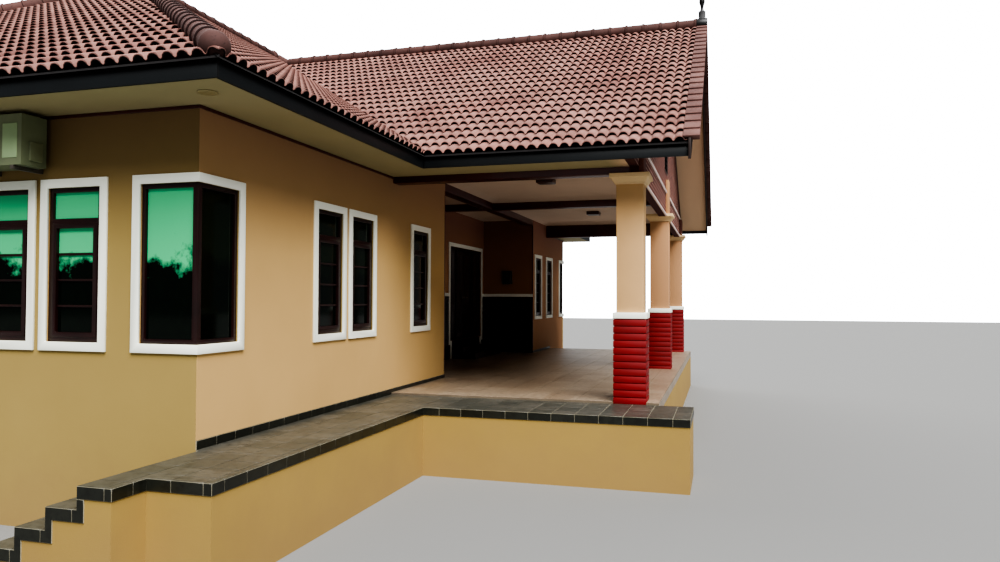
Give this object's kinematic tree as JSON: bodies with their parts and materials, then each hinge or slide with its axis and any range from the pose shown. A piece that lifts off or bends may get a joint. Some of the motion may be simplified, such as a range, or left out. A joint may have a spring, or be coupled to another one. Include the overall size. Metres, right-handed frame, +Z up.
{
  "type": "bungalow",
  "caption": "Single-storey house with a hipped tile roof, a gabled car porch on square columns, tiled walkway and side steps, and a double entrance door that swings inward.",
  "frame": {"origin": "centre of the building's bounding box, on the lowest ground", "axes": "+X towards the car porch, along the front wall; +Y from the front wall into the depth; +Z up"},
  "size_m": [17.982, 19.517, 8.8389],
  "materials": {
    "wall_render": "smooth painted render, warm tan",
    "walkway_tile": "dark grey glazed floor tile",
    "porch_tile": "beige matt floor tile",
    "step_tile": "dark maroon floor tile",
    "floor_screed": "pale indoor floor",
    "column_render": "cream painted render",
    "column_base_red": "red ribbed tile",
    "white_trim": "off-white painted moulding",
    "capital_render": "cream moulded render",
    "beam_maroon": "dark maroon paint",
    "ceiling_board": "cream painted board",
    "light_cover": "dark lamp housing",
    "gable_brick": "red-brown brick slips with pale joints",
    "vent_black": "black louvre",
    "roof_tile": "dusty red concrete roll tile",
    "ridge_tile": "dusty red concrete ridge tile",
    "soffit_board": "cream painted soffit board",
    "fascia_paint": "slate blue paint",
    "barge_paint": "dark brown painted timber",
    "finial_black": "black paint",
    "frame_timber": "near-black maroon stained timber",
    "window_glass": "green reflective glass",
    "dado_tile": "dark maroon glazed wall tile",
    "condenser_case": "pale grey-green painted sheet",
    "bracket_steel": "painted steel angle",
    "meter_case": "dark plastic box"
  },
  "bodies": {
    "house": {"walkway_base": "wall_render", "walkway_tiles": "walkway_tile", "side_steps": "wall_render", "step_tiles": "walkway_tile", "porch_base": "wall_render", "porch_floor": "porch_tile", "entrance_steps": "step_tile", "ground_floor": "floor_screed", "front_wall": "wall_render", "front_right_wall": "wall_render", "recess_return_wall": "wall_render", "door_wall_front": "wall_render", "door_wall_rear": "wall_render", "door_wall_middle": "wall_render", "recess_end_wall": "wall_render", "rear_right_wall": "wall_render", "rear_wall": "wall_render", "left_wall": "wall_render", "column_bases": "column_base_red", "column_bands": "white_trim", "column_shafts": "column_render", "column_capitals": "capital_render", "front_beam": "beam_maroon", "middle_beam": "beam_maroon", "rear_beam": "beam_maroon", "recess_beam": "beam_maroon", "porch_ceiling": "ceiling_board", "ceiling_lights": "light_cover", "gable_wall": "gable_brick", "gable_mouldings": "white_trim", "gable_vent": "vent_black", "main_roof_front": "roof_tile", "main_roof_right": "roof_tile", "main_roof_left": "roof_tile", "main_roof_rear": "roof_tile", "porch_roof_front": "roof_tile", "porch_roof_rear": "roof_tile", "ridge_tiles": "ridge_tile", "verge_tiles": "ridge_tile", "soffits": "soffit_board", "fascias": "fascia_paint", "barge_boards": "barge_paint", "gable_covers": "beam_maroon", "finial": "finial_black", "window_surrounds": "white_trim", "window_frames": "frame_timber", "window_glass": "window_glass", "door_surround": "white_trim", "door_frame": "frame_timber", "door_side_panels": "frame_timber", "dado_tiles": "dado_tile", "dado_rail": "white_trim", "skirting_tiles": "walkway_tile", "condenser_unit": "condenser_case", "condenser_bracket": "bracket_steel", "meter_box": "meter_case"},
    "left_leaf": {"door_leaf_left": "frame_timber"},
    "right_leaf": {"door_leaf_right": "frame_timber"}
  },
  "joints": [
    {"name": "left_leaf_hinge", "type": "hinge", "parent": "house", "child": "left_leaf", "pos_m": [3.002, 2.954, 1.38], "axis": [0, 0, 1], "range_deg": [0, 90]},
    {"name": "right_leaf_hinge", "type": "hinge", "parent": "house", "child": "right_leaf", "pos_m": [3.002, 4.139, 1.38], "axis": [0, 0, -1], "range_deg": [0, 90]}
  ]
}
